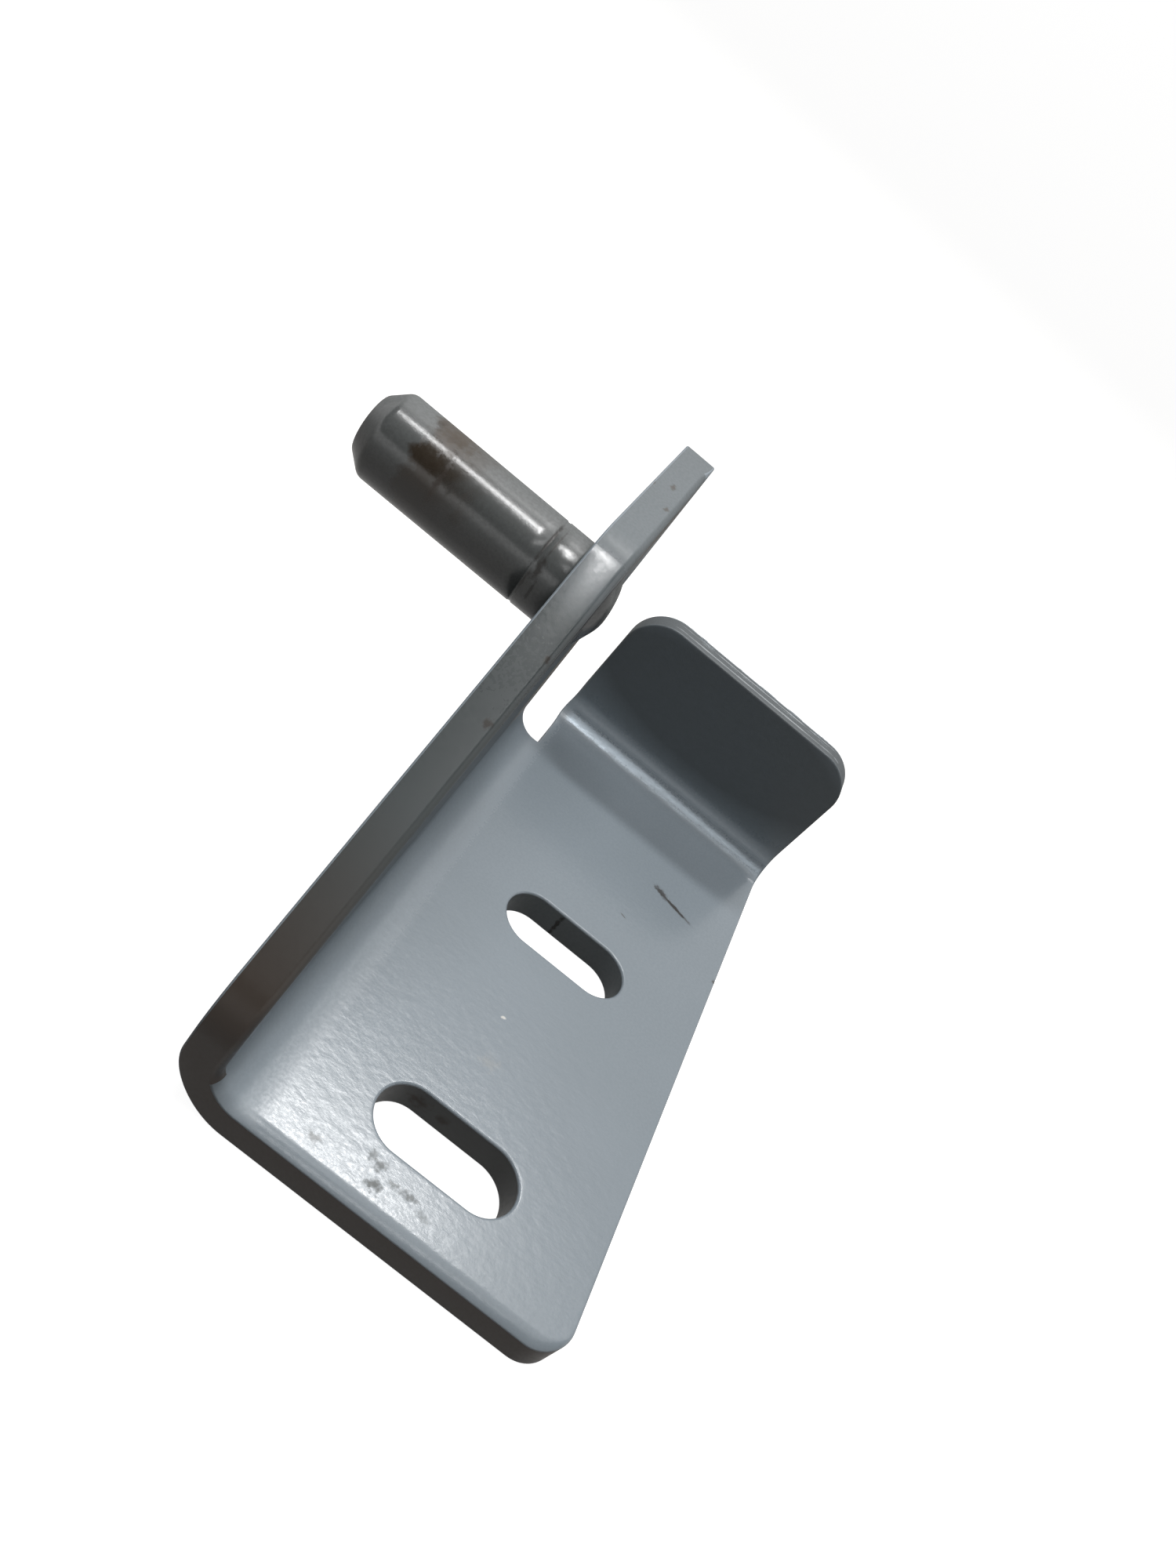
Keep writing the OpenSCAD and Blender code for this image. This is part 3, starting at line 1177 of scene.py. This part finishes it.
    def camera(self) -> None:
        """Sets the camera as the photograph was taken: from in front, above, and turned on its side."""
        data = bpy.data.cameras.new("camera")
        data.lens = self.lens
        data.sensor_width = 36.0
        data.shift_x, data.shift_y = self.shift
        data.clip_start = 0.005
        holder = bpy.data.objects.new("camera", data)
        bpy.context.scene.collection.objects.link(holder)
        turn = Matrix((self.camera_right, self.camera_up, self.camera_back)).transposed().to_4x4()
        holder.matrix_world = Matrix.Translation(self.camera_place) @ turn
        bpy.context.scene.camera = holder


# Marks on the part, and patches of painted shade, painted reflection and painted highlight where noted.
# Each row is a centre, a reach, a colour, a strength, a grain, a raggedness and a turn.
PLATE_MARKS_AND_PAINTED_LIGHT = tuple(Mark(*row) for row in (
    # Painted shade: a darker grey over the whole inner face of the flange, which the lamps hardly reach.
    ((10.8, 26.9, 30.0), (60.0, 1.0, 26.0), "#5A6166", 0.8, 1.2, 0.0),
    ((17.5, 26.7, 52.0), (9.0, 1.0, 8.0), "#3B322B", 0.85, 1.5, 0.5),
    # Painted reflection: two pale beige patches on the flange's inner face, standing in for the pale backdrop seen in
    # it at a grazing angle.
    ((46.0, 26.7, 27.0), (13.0, 0.8, 15.0), "#B9AEA3", 0.9, 2.0, 0.35),
    ((38.0, 26.7, 56.0), (16.0, 0.8, 6.0), "#A0968C", 0.85, 2.0, 0.45),
    # Painted shade: a darker grey over the tab's front face, which faces away from the lamps.
    ((70.0, -1.2, 22.0), (3.0, 40.0, 15.0), "#585D5F", 0.85, 1.2, 0.0),
    ((45.05, -12.45, 5.0), (0.5, 5.0, 0.6), "#1E1C1B", 1.0, 0.9, 0.35, -14.0),
    ((46.0, -9.4, 5.0), (0.85, 2.2, 0.5), "#2A2A2B", 0.95, 0.7, 0.6, -20.0),
    ((35.0, -5.6, 5.0), (0.18, 0.8, 0.4), "#4A4744", 0.8, 0.5, 0.2, -20.0),
    ((1.7, 2.4, 5.0), (0.3, 0.5, 0.4), "#E9E6DF", 0.9, 0.4, 0.3, 20.0),
    ((-31.7, 5.5, 5.0), (0.9, 1.5, 0.6), "#4E4E46", 0.75, 0.8, 0.8),
    ((-29.0, 6.0, 5.0), (0.9, 1.3, 0.6), "#55554D", 0.6, 0.7, 0.9, 20.0),
    ((-28.5, 7.2, 5.0), (0.9, 0.9, 0.6), "#55554D", 0.5, 0.7, 0.9),
    ((-29.9, 1.4, 5.0), (0.7, 1.6, 0.6), "#55554D", 0.6, 0.7, 0.9),
    ((-29.9, 3.4, 5.0), (0.6, 1.2, 0.6), "#66665C", 0.45, 0.6, 1.0),
    ((-31.0, -1.4, 5.0), (0.7, 1.0, 0.6), "#66665C", 0.4, 0.6, 1.0),
    ((-31.5, 14.1, 5.0), (0.8, 1.1, 0.6), "#8A847A", 0.4, 0.7, 0.9),
    ((-6.1, 0.9, 5.0), (1.6, 2.0, 0.5), "#85857F", 0.35, 1.0, 0.8),
    ((36.4, -23.6, 4.6), (0.7, 0.5, 0.8), "#352B22", 0.9, 0.5, 0.4),
))

EDGE_MARKS_AND_PAINTED_LIGHT = tuple(Mark(*row) for row in (
    # Painted highlights: two pale lines along the tab's top edge, standing in for light caught on its shear ridges.
    ((70.6, -1.2, 30.8), (0.22, 24.0, 0.6), "#C9CED1", 0.75, 2.5, 0.6),
    ((72.2, -3.2, 30.8), (0.18, 20.0, 0.6), "#C9CED1", 0.7, 2.5, 0.6, 0.5),
    ((6.2, 27.5, 49.6), (0.8, 0.5, 0.8), "#332A22", 0.8, 0.6, 0.6),
    ((-1.9, 28.0, 43.4), (0.9, 0.7, 0.8), "#332A22", 0.8, 0.6, 0.6),
    ((41.8, 29.2, 59.8), (1.2, 0.5, 0.6), "#5A5048", 0.7, 0.6, 0.6),
    ((38.8, 31.6, 59.8), (0.9, 0.4, 0.6), "#5A5048", 0.7, 0.6, 0.6),
    ((34.9, 28.0, 59.8), (0.7, 0.5, 0.6), "#5A5048", 0.7, 0.6, 0.6),
    ((26.25, 2.3, 2.5), (0.6, 0.45, 3.0), "#2A2622", 0.9, 0.8, 0.5),
    ((-16.25, 6.0, 2.6), (0.6, 2.2, 1.4), "#4A4038", 0.75, 0.9, 0.8),
    ((-16.25, 2.0, 2.4), (0.6, 1.2, 1.2), "#4A4038", 0.65, 0.9, 0.8),
))

PIN_MARKS = tuple(Mark(*row) for row in (
    ((22.5, 54.6, 55.0), (2.4, 0.6, 1.6), "#3A3128", 0.6, 1.0, 0.9),
    ((19.0, 54.9, 54.0), (0.9, 0.4, 1.0), "#2E2720", 0.7, 0.7, 0.9),
    ((22.6, 51.9, 55.0), (2.8, 2.8, 1.6), "#50463B", 0.7, 1.2, 0.9),
    ((19.0, 52.4, 53.8), (0.7, 0.3, 0.8), "#2A241E", 0.6, 0.6, 0.9),
    ((17.4, 35.1, 51.2), (1.8, 0.8, 2.2), "#1C1814", 0.9, 0.8, 0.5),
    ((17.0, 35.8, 48.6), (1.4, 0.3, 2.6), "#1C1814", 0.85, 0.8, 0.4),
    ((17.0, 34.4, 48.6), (1.4, 0.3, 2.6), "#1C1814", 0.85, 0.8, 0.4),
    ((19.8, 36.1, 54.2), (4.5, 0.3, 3.0), "#2A2520", 0.85, 0.8, 0.4),
    ((19.8, 35.2, 54.2), (3.5, 0.2, 3.0), "#2A2520", 0.7, 0.8, 0.5),
    ((18.4, 50.6, 52.0), (3.0, 0.5, 6.0), "#33281F", 0.7, 1.0, 0.9),
    ((18.4, 46.6, 50.0), (3.0, 1.0, 3.0), "#3B3026", 0.45, 1.4, 1.0),
    ((19.8, 43.9, 53.0), (0.7, 0.5, 0.9), "#2A241E", 0.7, 0.6, 0.7),
    ((18.0, 49.0, 52.0), (0.8, 0.7, 1.0), "#2A241E", 0.7, 0.6, 0.7),
))


def main() -> None:
    """Builds the studio and the part's pieces in order, and reports each."""
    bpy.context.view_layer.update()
    paint = SatinPaint("satin_silver_grey_enamel", "#949EA6", "#8A949B", 0.21, 0.5, peel_mm=1.3,
                       peel_depth_mm=0.03, marks=PLATE_MARKS_AND_PAINTED_LIGHT)
    edge = ShearedEdge("thinly_painted_sheared_edge", "#737A7E", "#697073", 0.2, 0.5, marks=EDGE_MARKS_AND_PAINTED_LIGHT)
    steel = WornSteel("worn_turned_steel", "#6B6E6E", "#545756", 0.22, 0.7, peel_mm=0.8, peel_depth_mm=0.012,
                      marks=PIN_MARKS)
    studio = Studio()
    studio.sweep()
    studio.light()
    studio.camera()
    paint_made = paint.material()
    for piece in (
        FoldedPlate().build(paint_made, edge.material()),
        PivotPin().build(steel.material()),
        ShearLines().build(paint_made),
    ):
        log.info("%s: %d faces", piece.name, len(piece.data.polygons))


if __name__ == "__main__":
    logging.basicConfig(level=logging.INFO, format="%(name)s %(message)s")
    main()
